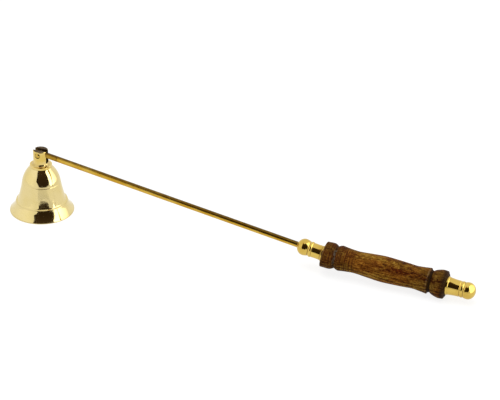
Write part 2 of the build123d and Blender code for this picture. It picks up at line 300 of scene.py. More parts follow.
def turning_tree():
    """Geometry Nodes that turn an outline about the X axis. The outline's vertices hold the place along
    the axis, the radius and the distance run along the outline. The finishes read that distance and the
    relief: below nought in a groove, above it on an edge."""
    tree = bpy.data.node_groups.new("turning", "GeometryNodeTree")
    sockets = [
        ("Outline", "NodeSocketGeometry"),
        ("Sides", "NodeSocketInt"),
        ("Waviness", "NodeSocketFloat"),
        ("Wave length", "NodeSocketFloat"),
        ("Seed", "NodeSocketFloat"),
        ("Finish", "NodeSocketMaterial"),
    ]
    for label, kind in sockets:
        tree.interface.new_socket(label, in_out="INPUT", socket_type=kind)
    tree.interface.new_socket("Piece", in_out="OUTPUT", socket_type="NodeSocketGeometry")
    n = Nodes(tree)
    given = n.add("NodeGroupInput").outputs
    size = n.add("GeometryNodeAttributeDomainSize", {"Geometry": given["Outline"]}).outputs
    columns = n.whole("ADD", given["Sides"], 1)
    grid = n.add("GeometryNodeMeshGrid", {"Vertices X": size["Point Count"], "Vertices Y": columns})
    index = n.add("GeometryNodeInputIndex").outputs[0]
    ring = n.whole("DIVIDE_FLOOR", index, columns)
    side = n.whole("MODULO", index, columns)

    def on_outline(value, kind):
        inputs = {"Geometry": given["Outline"], "Value": value, "Index": ring}
        return n.add("GeometryNodeSampleIndex", inputs, data_type=kind).outputs[0]

    position = n.add("GeometryNodeInputPosition").outputs[0]
    drawn = n.add("ShaderNodeSeparateXYZ", {0: on_outline(position, "FLOAT_VECTOR")}).outputs
    place, drawn_radius, run = drawn
    angle = n.math("MULTIPLY", n.math("DIVIDE", side, given["Sides"]), 2 * pi)
    across = n.math("COSINE", angle)
    up = n.math("SINE", angle)

    def about_axis(radius):
        inputs = {0: place, 1: n.product(radius, across), 2: n.product(radius, up)}
        return n.add("ShaderNodeCombineXYZ", inputs).outputs[0]

    noise_inputs = {
        "Vector": about_axis(drawn_radius),
        "W": given["Seed"],
        "Scale": n.math("DIVIDE", 1.0, given["Wave length"]),
        "Detail": 0.0,
    }
    noise = n.add("ShaderNodeTexNoise", noise_inputs, noise_dimensions="4D").outputs[0]
    wave = n.product(n.math("SUBTRACT", noise, 0.5), given["Waviness"])
    off_axis = n.math("GREATER_THAN", drawn_radius, 0.0)
    turned_place = about_axis(n.math("MULTIPLY_ADD", wave, off_axis, drawn_radius))
    relief = n.add("GeometryNodeInputNamedAttribute", {"Name": "relief"}, data_type="FLOAT").outputs[0]
    kept = grid.outputs["Mesh"]
    for name, value in (("run", run), ("relief", on_outline(relief, "FLOAT"))):
        kept = n.add(
            "GeometryNodeStoreNamedAttribute",
            {"Geometry": kept, "Name": name, "Value": value},
            data_type="FLOAT",
            domain="POINT",
        ).outputs[0]
    placed = n.add("GeometryNodeSetPosition", {"Geometry": kept, "Position": turned_place}).outputs[0]
    merging = {"Geometry": placed, "Distance": merge_distance}
    closed = n.add("GeometryNodeMergeByDistance", merging).outputs[0]
    smooth = n.add("GeometryNodeSetShadeSmooth", {"Geometry": closed}).outputs[0]
    real = n.add("GeometryNodeRealizeInstances", {"Geometry": smooth}).outputs[0]
    faced = n.add("GeometryNodeSetMaterial", {"Geometry": real, "Material": given["Finish"]}).outputs[0]
    n.add("NodeGroupOutput", {"Piece": faced})
    return tree


turning = turning_tree()
turning_inputs = {
    item.name: item.identifier for item in turning.interface.items_tree if item.in_out == "INPUT"
}


def added(name, data):
    """A new object in the scene."""
    made = bpy.data.objects.new(name, data)
    bpy.context.scene.collection.objects.link(made)
    return made


def bake(piece):
    """Makes a piece's modifiers part of its mesh."""
    evaluated = piece.evaluated_get(bpy.context.evaluated_depsgraph_get())
    piece.data = bpy.data.meshes.new_from_object(evaluated)
    piece.modifiers.clear()


def outward(mesh):
    """Points every face of a closed mesh outwards."""
    shape = bmesh.new()
    shape.from_mesh(mesh)
    bmesh.ops.recalc_face_normals(shape, faces=shape.faces)
    shape.to_mesh(mesh)
    shape.free()


def relief_of(outline, runs, reach):
    """How far each point of an outline stands out of its surroundings, from -1 in grooves to 1 on edges."""
    around = []
    for run in runs:
        near = np.exp(-(((runs - run) / reach) ** 2))
        near *= np.gradient(runs)
        around.append((outline * near[:, None]).sum(axis=0) / near.sum())
    heading = np.gradient(outline, axis=0)
    heading /= np.maximum(np.linalg.norm(heading, axis=1), tiny_step)[:, None]
    away = outline - np.array(around)
    outwards = away[:, 1] * heading[:, 0] - away[:, 0] * heading[:, 1]
    return np.clip(outwards / (reach * relief_share), -1, 1)


def turned(
    name, outline, finish, sides=128, waviness=0.0, wave_length=9 * MM, seed=0.0, relief_reach=fine_relief
):
    """A piece turned about its own X axis. Its relief is measured over the reach given."""
    runs = np.r_[0, np.cumsum(np.linalg.norm(np.diff(outline, axis=0), axis=1))]
    mesh = bpy.data.meshes.new(name)
    mesh.from_pydata(
        [(place, max(radius, 0), run) for (place, radius), run in zip(outline, runs)],
        [(i, i + 1) for i in range(len(outline) - 1)],
        [],
    )
    relief = mesh.attributes.new("relief", "FLOAT", "POINT")
    relief.data.foreach_set("value", relief_of(outline, runs, relief_reach))
    piece = added(name, mesh)
    modifier = piece.modifiers.new("turning", "NODES")
    modifier.node_group = turning
    given = {"Sides": sides, "Waviness": waviness, "Wave length": wave_length}
    given |= {"Seed": seed, "Finish": finish}
    for label, value in given.items():
        modifier[turning_inputs[label]] = value
    bake(piece)
    return piece


def standing(place, along, upward):
    """Matrix that lays a piece's X axis along a direction from a place, with its Z axis near another."""
    x = along.normalized()
    y = upward.cross(x).normalized()
    z = x.cross(y)
    turn = Matrix((x, y, z)).transposed().to_4x4()
    return Matrix.Translation(place) @ turn


z_axis = Vector((0, 0, 1))
y_axis = Vector((0, 1, 0))
x_axis = Vector((1, 0, 0))
bell_stand = standing(bell_foot, z_axis, x_axis)
rod_stand = standing(pin, rod_direction, z_axis)
ferrule_stand = standing(joint_centre, -rod_direction, z_axis)
handle_stand = standing(joint_centre, handle_direction, z_axis)
finial_stand = standing(handle_end, handle_direction, z_axis)
rivet_stand = standing(pin, y_axis, z_axis)
still = Matrix.Identity(4)
# Planes that cutters are drawn in, with their Z along the cut
across_pin = Matrix.Translation(pin) @ Matrix.Rotation(-pi / 2, 4, "X")
along_rod = Matrix.Rotation(pi / 2 + rod_dip, 4, "Y")
hole_stand = Matrix.Translation(joint_centre) @ along_rod


# Cutting
def cutter(points, low, high, plane, finish):
    """A prism: an outline given in the plane's X and Y, from one level to another along its Z."""
    shape = bmesh.new()
    face = shape.faces.new([shape.verts.new((x, y, low)) for x, y in points])
    pushed = bmesh.ops.extrude_face_region(shape, geom=[face])["geom"]
    moved = [item for item in pushed if isinstance(item, bmesh.types.BMVert)]
    bmesh.ops.translate(shape, verts=moved, vec=(0, 0, high - low))
    bmesh.ops.recalc_face_normals(shape, faces=shape.faces)
    mesh = bpy.data.meshes.new("cutter")
    shape.to_mesh(mesh)
    shape.free()
    mesh.transform(plane)
    mesh.materials.append(finish)
    return added("cutter", mesh)


def circle(radius, count=64):
    """Points round a circle."""
    return [(radius * cos(2 * pi * i / count), radius * sin(2 * pi * i / count)) for i in range(count)]


def cut(piece, tools):
    """Takes the tools out of a piece."""
    for tool in tools:
        modifier = piece.modifiers.new("cut", "BOOLEAN")
        modifier.object = tool
        modifier.solver = "EXACT"
    bake(piece)
    for tool in tools:
        bpy.data.objects.remove(tool)


crease_angle = radians(35)


def settled(piece, stand, body, node):
    """Puts a finished piece in its place, gives it to its body and hides the CAD node it stands for."""
    piece.data.transform(stand)
    outward(piece.data)
    piece.data.set_sharp_from_angle(angle=crease_angle)
    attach(piece, body)
    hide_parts(node)


# Finishes
class Finish(Nodes):
    """A new material, with its shader and the nodes that finishes share."""

    def __init__(self, name):
        self.made = bpy.data.materials.new(name)
        self.made.use_nodes = True
        super().__init__(self.made.node_tree)
        self.shader = self.tree.nodes["Principled BSDF"]
        self.place = self.add("ShaderNodeTexCoord").outputs["Object"]

    def attribute(self, name):
        return self.add("ShaderNodeAttribute", attribute_name=name).outputs["Fac"]

    def noise(self, size, detail=3.0, roughness=0.5, place=None, stretch=(1, 1, 1), distortion=0.0):
        """Noise of a size in metres, longer where the stretch is more than one."""
        place = place or self.place
        squeezed = [1 / (size * longer) for longer in stretch]
        scaled_place = self.add("ShaderNodeVectorMath", {0: place, 1: squeezed}, operation="MULTIPLY")
        settings = {"Vector": scaled_place.outputs[0], "Scale": 1.0, "Detail": detail}
        settings |= {"Roughness": roughness, "Distortion": distortion}
        return self.add("ShaderNodeTexNoise", settings).outputs[0]

    def rings(self, size, detail=2.0):
        """Fine rings left by the lathe, along the outline that was turned."""
        return self.layers(self.attribute("run"), size, detail)

    def layers(self, distance, size, detail):
        """Noise that changes with a distance only."""
        inputs = {"W": self.math("DIVIDE", distance, size), "Scale": 1.0, "Detail": detail}
        return self.add("ShaderNodeTexNoise", inputs, noise_dimensions="1D").outputs[0]

    def hypot(self, first, second):
        squares = [self.product(side, side) for side in (first, second)]
        return self.math("SQRT", self.math("ADD", *squares))

    def between(self, value, low, high, to_low=0.0, to_high=1.0):
        """The value's place between two limits, eased and clamped."""
        inputs = {"Value": value, "From Min": low, "From Max": high, "To Min": to_low, "To Max": to_high}
        return self.add("ShaderNodeMapRange", inputs, interpolation_type="SMOOTHSTEP").outputs[0]

    def ramp(self, value, stops):
        """Colours at places from nought to one."""
        node = self.add("ShaderNodeValToRGB", {0: value})
        elements = node.color_ramp.elements
        while len(elements) < len(stops):
            elements.new(1.0)
        for element, (place, colour) in zip(elements, stops):
            element.position = place
            element.color = (*colour, 1)
        return node.outputs["Color"]

    def mixed(self, amount, first, second, blend="MIX"):
        node = self.add("ShaderNodeMix", data_type="RGBA", blend_type=blend)
        for key, value in (("Factor_Float", amount), ("A_Color", first), ("B_Color", second)):
            self.feed(next(item for item in node.inputs if item.identifier == key), value)
        return next(item for item in node.outputs if item.identifier == "Result_Color")

    def bump(self, height, distance, strength, normal=None):
        inputs = {"Height": height, "Distance": distance, "Strength": strength}
        if normal:
            inputs["Normal"] = normal
        return self.add("ShaderNodeBump", inputs).outputs[0]

    def give(self, **inputs):
        """Sets or feeds the shader's own sockets."""
        for name, value in inputs.items():
            self.feed(self.shader.inputs[name.replace("_", " ")], value)
        return self.made


# Brass finish: the sizes of its marks, the colours that lie on it, and how much of each shows
cloud_size = 9 * MM
smear_size = 2.2 * MM
speck_size = 0.35 * MM
grime_and_shade_size = 0.8 * MM
dent_size = 3.5 * MM
brass_ring_size = 0.22 * MM
brass_ring_depth = 0.0006 * MM
tarnish_brown = (0.27, 0.165, 0.05)
stain_brown = (0.55, 0.38, 0.14)
speck_brown = (0.32, 0.2, 0.07)
# Dark browns for unpolished brass and for painted shade in recesses
thick_grime_and_shade = (0.035, 0.02, 0.007)
thin_grime_and_shade = (0.16, 0.095, 0.03)
# Painted dark reflection on upward faces; its thinnest share is given below
top_reflection_brown = (0.075, 0.038, 0.006)
stain_share = 0.16
speck_share = 0.35
thin_top_reflection_share = 0.7
mirror_roughness = 0.04
smeared_roughness = 0.12
ring_roughness = 0.05
tarnish_roughness = 0.25
edge_roughness = 0.06
dull_roughness = 0.42


def polished_brass(
    name, clean, warmer, groove_tarnish=0.8, dullness=0.0, dull_and_shade=None, top_reflection=0.0, dent_depth=0.02 * MM
):
    """Mirror polished brass: fine lathe rings, soft handling marks and dents, and brown tarnish in the
    grooves.
    A masked share is dark and unpolished, partly sawn brass and partly painted shade in recesses, and a
    painted dark reflection lies on what faces up."""
    f = Finish(name)
    relief = f.attribute("relief")
    clouds = f.noise(cloud_size)
    smears = f.noise(smear_size, detail=4.0, roughness=0.6)
    specks = f.noise(speck_size, detail=2.0)
    rings = f.rings(brass_ring_size)
    colour = f.mixed(f.between(clouds, 0.35, 0.65), clean, warmer)
    patches = f.between(smears, 0.25, 0.6, groove_tarnish / 2, groove_tarnish)
    tarnish = f.product(f.between(relief, -0.12, -0.75), patches)
    colour = f.mixed(tarnish, colour, tarnish_brown)
    colour = f.mixed(f.between(smears, 0.6, 0.78, to_high=stain_share), colour, stain_brown)
    colour = f.mixed(f.between(specks, 0.68, 0.76, to_high=speck_share), colour, speck_brown)
    roughness = f.between(smears, 0.3, 0.75, mirror_roughness + dullness, smeared_roughness + dullness)
    roughness = f.math("ADD", roughness, f.between(rings, 0.45, 0.8, to_high=ring_roughness))
    roughness = f.math("MULTIPLY_ADD", tarnish, tarnish_roughness, roughness)
    roughness = f.math("ADD", roughness, f.between(relief, 0.3, 0.9, to_high=edge_roughness))
    # Where the mask is given, the brass is dark and rough: unpolished, or painted shade in recesses
    if dull_and_shade is not None:
        dull_and_shade_share = dull_and_shade(f)
        grime_and_shade = f.mixed(f.between(f.noise(grime_and_shade_size, detail=4.0), 0.35, 0.7), thick_grime_and_shade, thin_grime_and_shade)
        colour = f.mixed(dull_and_shade_share, colour, grime_and_shade)
        roughness = f.math("MAXIMUM", roughness, f.product(dull_and_shade_share, dull_roughness))
    # A painted dark reflection in patches on what faces up
    if top_reflection:
        facing = f.add("ShaderNodeNewGeometry").outputs["Normal"]
        upward = f.add("ShaderNodeSeparateXYZ", {0: facing}).outputs["Z"]
        patches = f.between(smears, 0.2, 0.6, top_reflection * thin_top_reflection_share, top_reflection)
        reflected_dark = f.product(f.between(upward, 0.45, 0.95), patches)
        colour = f.mixed(reflected_dark, colour, top_reflection_brown)
    dents = f.bump(f.noise(dent_size, detail=1.0), dent_depth, strength=0.5)
    surface = f.bump(rings, brass_ring_depth, strength=0.6, normal=dents)
    return f.give(Metallic=1.0, Base_Color=colour, Roughness=roughness, Normal=surface)


def tongue_shade(f):
    """Painted shade over the rod's flattened end, and a darker painted shade line where it begins."""
    x = f.add("ShaderNodeSeparateXYZ", {0: f.place}).outputs["X"]
    reach = f.math("DIVIDE", f.math("SUBTRACT", x, pin.x), cos(rod_dip))
    off_line = f.math("ABSOLUTE", f.math("SUBTRACT", reach, tongue_line))
    # A painted shade line at the shoulder, and painted shade over the flattened end
    line = f.between(off_line, line_edge, line_core, to_high=0.6)
    end_shade = f.between(reach, tongue_line + tongue_shade_fade, tongue_line - tongue_shade_fade, to_high=0.35)
    return f.math("MAXIMUM", line, end_shade)


def sawn_and_shaded(f):
    """A mask over the sawn slot, the yoke's flat top and the ring round each rivet head: painted shade in
    the slot and round the rivet heads, unpolished brass on the top.
    """
    x, y, z = f.add("ShaderNodeSeparateXYZ", {0: f.place}).outputs
    in_slot = f.math("LESS_THAN", f.math("ABSOLUTE", y), slot_width / 2 + fine_step)
    above_floor = f.math("GREATER_THAN", z, yoke_top - slot_depth - fine_step)
    on_top = f.between(z, yoke_top - 2 * fine_step, yoke_top - fine_step)
    from_pin = f.hypot(f.math("SUBTRACT", x, pin.x), f.math("SUBTRACT", z, pin.z))
    near_pin = f.math("LESS_THAN", from_pin, spot_radius + fine_step)
    sawn = f.math("MAXIMUM", f.product(in_slot, above_floor), on_top)
    return f.math("MAXIMUM", sawn, near_pin)


# Wood finish: where the log's pith ran beside the handle's axis, and the sizes of the grain
pith_y = -7 * MM
pith_z = -16 * MM
year_ring_width = 1.3 * MM
year_ring_wander = 9 * MM
wander_size = 16 * MM
figure_size = 3.6 * MM
mottle_size = 1.1 * MM
fibre_size = 0.5 * MM
pore_size = 0.16 * MM
heart_size = 7 * MM
streak_size = 1.5 * MM
# Size of the painted highlight's patches in the front groove
groove_highlight_size = 2.5 * MM
wood_ring_size = 0.55 * MM
burnt_ring_size = 0.9 * MM
grain_depth = 0.05 * MM
fibre_height = 0.35
wood_ring_height = 0.4
wood_gloss = 0.03
year_weight = 0.16
figure_weight = 0.24
mottle_weight = 0.34
fibre_weight = 0.26
wood_tones = [
    (0.42, (0.036, 0.0075, 0.0003)),
    (0.46, (0.098, 0.0330, 0.0015)),
    (0.50, (0.182, 0.0800, 0.0060)),
    (0.54, (0.265, 0.1340, 0.0150)),
    (0.59, (0.430, 0.2550, 0.0400)),
]
heart_tint = (0.92, 0.52, 0.32)
streak_tint = (0.30, 0.13, 0.05)
unworn_tint = (0.60, 0.58, 0.62)
burnt_brown = (0.05, 0.010, 0.002)
# Painted shade on the rear rim
rear_shade_brown = (0.018, 0.008, 0.003)
groove_brown = (0.012, 0.005, 0.002)
# Painted highlight in the front groove
groove_highlight_grey = (0.15, 0.125, 0.095)
edge_tan = (0.25, 0.16, 0.08)
pore_brown = (0.012, 0.004, 0.001)
pore_share = 0.75
pore_roughness = 0.2
# The dark streaks lie in a band: the direction across it, how far up it lies, and where it ends.
band_across = (0.5, 0.86)
band_rise = 1.0 * MM
band_core = 1.0 * MM
band_edge = 3.2 * MM
# Where along the handle each layer fades, from nothing to full, as shares of the handle's length
band_fade = (0.3, 0.5)
worn_front_fade = (0.11, 0.3)
worn_rear_fade = (0.93, 0.6)
burnt_fade = (0.32, 0.22)
rear_shade_fade = (0.955, 0.985)
groove_highlight_front_fade = (0.05, 0.08)
groove_highlight_rear_fade = (0.2, 0.15)
edge_fade = (0.96, 0.93)


def dark_wood():
    """Turned tropical hardwood, stained dark and worn satin, with its grain along the handle."""
    f = Finish("dark_wood")
    stand = {"Vector": f.place, "Location": joint_centre, "Rotation": (0, handle_dip, 0)}
    place = f.add("ShaderNodeMapping", stand, vector_type="TEXTURE").outputs[0]
    x, y, z = f.add("ShaderNodeSeparateXYZ", {0: place}).outputs
    along = f.math("DIVIDE", x, handle_length)
    relief = f.attribute("relief")

    def grain(size, longer, detail=4.0, roughness=0.6, distortion=0.0):
        """Noise that is longer along the handle."""
        return f.noise(size, detail, roughness, place, (longer, 1, 1), distortion)

    # Year rings, figure, mottle and fibre
    from_pith = f.hypot(f.math("SUBTRACT", y, pith_y), f.math("SUBTRACT", z, pith_z))
    wander = grain(wander_size, 2.4, detail=2.0, roughness=0.5)
    from_pith = f.math("MULTIPLY_ADD", wander, year_ring_wander, from_pith)
    year = f.layers(from_pith, year_ring_width, detail=3.0)
    figure = grain(figure_size, 2.0, distortion=0.6)
    mottle = grain(mottle_size, 1.7, roughness=0.65, distortion=1.8)
    fibre = grain(fibre_size, 9)
    tone = f.product(year, year_weight)
    for layer, weight in ((figure, figure_weight), (mottle, mottle_weight), (fibre, fibre_weight)):
        tone = f.math("MULTIPLY_ADD", layer, weight, tone)
    colour = f.ramp(tone, wood_tones)

    # Red heartwood, with its darkest streaks in one band along the front, up to the rear groove
    heart = f.between(grain(heart_size, 2.5, detail=3.0), 0.42, 0.6, to_high=0.6)
    colour = f.mixed(heart, colour, heart_tint, "MULTIPLY")
    across = f.math("MULTIPLY_ADD", y, band_across[0], f.product(z, band_across[1]))
    off_band = f.math("ABSOLUTE", f.math("SUBTRACT", across, band_rise))
    at_front = f.math("LESS_THAN", y, 0.0)
    band = f.product(f.between(off_band, band_edge, band_core), at_front, f.between(along, *band_fade))
    streaks = f.between(grain(streak_size, 2.4, detail=3.0, distortion=0.8), 0.4, 0.56, to_low=0.1)
    colour = f.mixed(f.product(band, streaks), colour, streak_tint, "MULTIPLY")

    # The barrel's middle is paler where the hand has worn its stain, and the caps stay dark
    worn = f.product(f.between(along, *worn_front_fade), f.between(along, *worn_rear_fade))
    colour = f.mixed(f.math("SUBTRACT", 1.0, worn), colour, unworn_tint, "MULTIPLY")

    # Burnt rings behind the front cap, painted shade over the rear rim, and darker grooves
    burnt = f.between(f.rings(burnt_ring_size, detail=1.0), 0.46, 0.58)
    patches = f.between(figure, 0.4, 0.55, 0.25, 0.9)
    colour = f.mixed(f.product(burnt, f.between(along, *burnt_fade), patches), colour, burnt_brown)
    # Painted shade over the rear rim, which faces away from the light
    colour = f.mixed(f.between(along, *rear_shade_fade, to_high=0.8), colour, rear_shade_brown)
    # The grooves are darker
    groove_darkening = f.product(f.between(relief, -0.1, -0.8), f.between(along, 0.2, 0.8, 0.6, 0.92))
    colour = f.mixed(groove_darkening, colour, groove_brown)

    # A painted highlight lies in patches in the front groove
    in_front = f.product(f.between(along, *groove_highlight_front_fade), f.between(along, *groove_highlight_rear_fade))
    patches = f.between(f.noise(groove_highlight_size), 0.45, 0.6, to_high=0.5)
    groove_highlight = f.product(f.between(relief, -0.05, -0.3), in_front, patches)
    colour = f.mixed(groove_highlight, colour, groove_highlight_grey)

    # Edges are rubbed pale, apart from the rear rim's
    patches = f.between(figure, 0.35, 0.6, 0.05, 0.4)
    rubbed = f.product(f.between(relief, 0.35, 0.95), patches, f.between(along, *edge_fade))
    colour = f.mixed(rubbed, colour, edge_tan)

    pore = f.between(grain(pore_size, 14, detail=1.0, roughness=0.5), 0.62, 0.72)
    colour = f.mixed(f.product(pore, pore_share), colour, pore_brown)
    roughness = f.math("MULTIPLY_ADD", pore, pore_roughness, f.between(figure, 0.3, 0.7, 0.46, 0.6))
    height = f.math("SUBTRACT", f.product(fibre, fibre_height), pore)
    rings = f.rings(wood_ring_size, detail=3.0)
    height = f.math("MULTIPLY_ADD", rings, wood_ring_height, height)
    surface = f.bump(height, grain_depth, strength=0.6)
    return f.give(
        Base_Color=colour, Roughness=roughness, Normal=surface, Specular_IOR_Level=wood_gloss
    )


# Zinc finish
bloom_size = 1.5 * MM
spangle_size = 0.6 * MM
zinc_white = (0.62, 0.62, 0.60)
zinc_blue = (0.45, 0.46, 0.49)


def zinc_steel():
    """Zinc plated steel with a blue grey bloom."""
    f = Finish("zinc_steel")
    bloom = f.between(f.noise(bloom_size, detail=4.0), 0.3, 0.7)
    roughness = f.between(f.noise(spangle_size), 0.3, 0.7, 0.28, 0.45)
    colour = f.mixed(bloom, zinc_white, zinc_blue)
    return f.give(Metallic=1.0, Base_Color=colour, Roughness=roughness)


# Brass tints, as reflected colours
pale = (0.79, 0.65, 0.31)
cream = (0.765, 0.62, 0.265)
straw = (0.78, 0.61, 0.24)
golden = (0.72, 0.51, 0.115)
deep = (0.66, 0.43, 0.07)
brown = (0.60, 0.39, 0.07)
red_brown = (0.55, 0.31, 0.025)

brass = polished_brass("polished_brass", golden, brown)
bell_brass = polished_brass("bell_brass", pale, cream, groove_tarnish=0.2, dent_depth=0.045 * MM)
# The yoke: painted shade in its slot and round its rivet heads
yoke_brass = polished_brass("yoke_brass", straw, golden, groove_tarnish=0.6, dull_and_shade=sawn_and_shaded)
# The rod: painted shade on its flattened end and a painted dark reflection on its upward faces
rod_brass = polished_brass(
    "rod_brass", deep, red_brown, groove_tarnish=0.6, dullness=0.1, dull_and_shade=tongue_shade, top_reflection=0.9
)
wood = dark_wood()
steel = zinc_steel()


# Pieces
def inset(point, before, after, depth):
    """The point moved towards the axis, square to the line between its neighbours."""
    run = hypot(after[0] - before[0], after[1] - before[1])
    return (
        point[0] + depth * (after[1] - before[1]) / run,
        point[1] - depth * (after[0] - before[0]) / run,
    )


def bell_outline():
    """From the tail hole's top edge over the dome and the flare to the mouth, and back up inside."""

    def on_bell(share):
        return (share[1] * crown_height, share[0] * mouth_radius)

    flare_middle, flare_top = on_bell(flare_middle_share), on_bell(flare_top_share)
    waist_bottom, waist_middle = on_bell(waist_bottom_share), on_bell(waist_middle_share)
    waist_top, dome_middle = on_bell(waist_top_share), on_bell(dome_middle_share)
    mouth_edge = (rim_height, mouth_radius)
    groove_top = (waist_top[0] + ring_groove_width, waist_top[1])
    groove_bottom = (waist_top[0] + ring_groove_width / 2, waist_top[1] - ring_groove_depth)
    dome_top = (crown_height - crown_step, foot_radius + crown_ledge)
    inner_mouth = (0, mouth_radius - rim_width)
    inner_crown = (crown_height - crown_wall, dome_top[1] - bell_wall)
    inner_flare = inset(flare_middle, mouth_edge, flare_top, bell_wall)
    inner_step = inset(waist_bottom, waist_bottom, waist_middle, bell_wall)
    inner_waist = inset(waist_middle, waist_bottom, waist_top, bell_wall)
    inner_waist_top = inset(waist_top, waist_middle, dome_middle, bell_wall)
    inner_dome = inset(dome_middle, waist_top, dome_top, bell_wall)
    points = [(crown_height, tail_radius), (crown_height, foot_radius)]
    points += arc(dome_top, dome_middle, groove_top)
    points += [groove_bottom]
    points += arc(waist_top, waist_middle, waist_bottom)
    points += arc(flare_top, flare_middle, mouth_edge)
    points += [(0, mouth_radius)]
    points += arc(inner_mouth, inner_flare, inner_step)
    points += arc(inner_step, inner_waist, inner_waist_top)
    points += arc(inner_waist_top, inner_dome, inner_crown)
    points += [(crown_height - crown_wall, tail_radius), (crown_height, tail_radius)]
    return finished(points)


def bell_cup():
    piece = turned("bell_cup_brass", bell_outline(), bell_brass, sides=224, waviness=0.03 * MM, seed=3.0)
    settled(piece, bell_stand, "bell", "bell_cup")


def yoke_outline():
    """From the tail's end over the foot ring and the neck to the top."""
    foot_top = crown_height + foot_height
    neck_bottom = foot_top + flare_height
    flare_start = foot_radius - foot_edge
    belly = (
        foot_top + flare_belly_share[1] * flare_height,
        flare_start - flare_belly_share[0] * (flare_start - neck_radius),
    )
    turn = neck_top_round * (1 - cos(pi / 4))
    points = [(yoke_low.z, 0), (yoke_low.z, tail_radius), (crown_height, tail_radius)]
    points += [(crown_height, foot_radius), (foot_top - foot_edge, foot_radius)]
    points += arc((foot_top, flare_start), belly, (neck_bottom, neck_radius))
    points += arc(
        (yoke_top - neck_top_round, neck_radius),
        (yoke_top - turn, neck_radius - turn),
        (yoke_top, neck_radius - neck_top_round),
    )
    points += [(yoke_top, 0)]
    return finished(points, small_edge_reach)


def bell_yoke():
    piece = turned("bell_yoke_brass", yoke_outline(), yoke_brass, seed=5.0)
    piece.data.transform(bell_stand)
    half = slot_width / 2
    floor_level = yoke_top - slot_depth
    past = foot_radius * 2
    slot = [(-past, -half), (past, -half), (past, half), (-past, half)]
    spot_y = neck_radius - spot_depth
    tools = [
        cutter(slot, floor_level, yoke_top + past, Matrix.Translation(bell_foot), yoke_brass),
        cutter(circle(pin_hole_radius), -past, past, across_pin, yoke_brass),
        cutter(circle(spot_radius), spot_y, past, across_pin, yoke_brass),
        cutter(circle(spot_radius), -past, -spot_y, across_pin, yoke_brass),
    ]
    cut(piece, tools)
    settled(piece, still, "bell", "bell_yoke")


def hinge_rivet():
    spot_y = neck_radius - spot_depth
    top = spot_y + rivet_head_height
    sphere = (rivet_head_radius**2 + rivet_head_height**2) / (2 * rivet_head_height)
    turn = asin(rivet_head_radius / sphere) / 2
    middle = (top - sphere * (1 - cos(turn)), sphere * sin(turn))
    half = [(0, rivet_radius), (spot_y, rivet_radius)]
    half += arc((spot_y, rivet_head_radius), middle, (top, 0))
    points = [(-place, radius) for place, radius in reversed(half)] + half[1:]
    piece = turned("hinge_rivet_brass", finished(points, small_edge_reach), brass, sides=64)
    settled(piece, rivet_stand, "bell", "hinge_rivet")


def rod():
    """Round rod, flattened on four sides to a tongue that is rounded about the hinge."""
    rod_end = joint_reach - ferrule_length + rod_socket_depth
    half_height = tongue_height / 2
    tongue_places = np.linspace(-half_height, tongue_length, tongue_steps)
    round_places = np.arange(tongue_length + fine_step, rod_end, rod_step)
    places = [*tongue_places, *round_places, rod_end]
    outline = np.array([(places[0], 0), *[(place, rod_radius) for place in places], (rod_end, 0)])
    piece = turned(
        "rod_brass", outline, rod_brass, sides=72, waviness=0.05 * MM, wave_length=14 * MM, seed=7.0
    )
    for vertex in piece.data.vertices:
        place, across, up = vertex.co
        if place > tongue_length:
            continue
        limit = half_height if place > 0 else (max(half_height**2 - place**2, 0)) ** 0.5
        vertex.co.y = min(max(across, -tongue_thickness / 2), tongue_thickness / 2)
        vertex.co.z = min(max(up, -limit), limit)
    piece.data.transform(rod_stand)
    past = tongue_thickness
    cut(piece, [cutter(circle(pin_hole_radius), -past, past, across_pin, rod_brass)])
    settled(piece, still, "grip", "rod")


def turned_end(length, radii, head_shares, bore):
    """Outline of a brass end, from its stud hole round its foot, body, bead and ball to its tip."""
    foot, foot_side, waist, bead_side = radii
    half_length = ball_half_length_share * ball_radius
    centre = length - half_length
    head = [(centre - place * ball_radius, radius * ball_radius) for place, radius in head_shares]
    ball_side, groove, bead_start, bead_peak, bead_end, fine_groove, body_start = head
    body_foot = foot_thickness + foot_cove
    body_middle = ((body_foot + body_start[0]) / 2, waist)
    run = centre - ball_side[0]
    drop = ball_radius - ball_side[1]
    swell = (run**2 + drop**2) / (2 * drop)
    turn = asin(run / swell) / 2
    swell_middle = (centre - swell * sin(turn), ball_radius - swell * (1 - cos(turn)))
    points = [(stud_metal_depth, 0), (stud_metal_depth, stud_hole_radius), (0, stud_hole_radius)]
    points += [(0, foot), (foot_thickness, foot)]
    points += arc((body_foot, foot_side), body_middle, (body_start[0], bead_side))
    points += [fine_groove]
    points += arc(bead_end, bead_peak, bead_start)
    points += [groove]
    points += arc(ball_side, swell_middle, (centre, ball_radius))
    angles = np.linspace(0, pi / 2, ball_steps)[1:]
    ball = [(centre + half_length * sin(a), ball_radius * cos(a)) for a in angles]
    if bore:
        ball = [point for point in ball if point[1] > bore]
        socket_floor = length - rod_socket_depth
        ball += [(length, bore), (socket_floor, bore), (socket_floor, 0)]
    points += ball
    return finished(points, end_edge_reach)


def front_ferrule():
    outline = turned_end(ferrule_length, ferrule_radii, ferrule_head_shares, rod_radius + fit_gap)
    piece = turned("front_ferrule_brass", outline, brass, waviness=0.02 * MM, seed=11.0)
    settled(piece, ferrule_stand, "grip", "front_ferrule")


def rear_finial():
    outline = turned_end(finial_length, finial_radii, finial_head_shares, 0)
    piece = turned("rear_finial_brass", outline, brass, waviness=0.02 * MM, seed=13.0)
    settled(piece, finial_stand, "grip", "rear_finial")


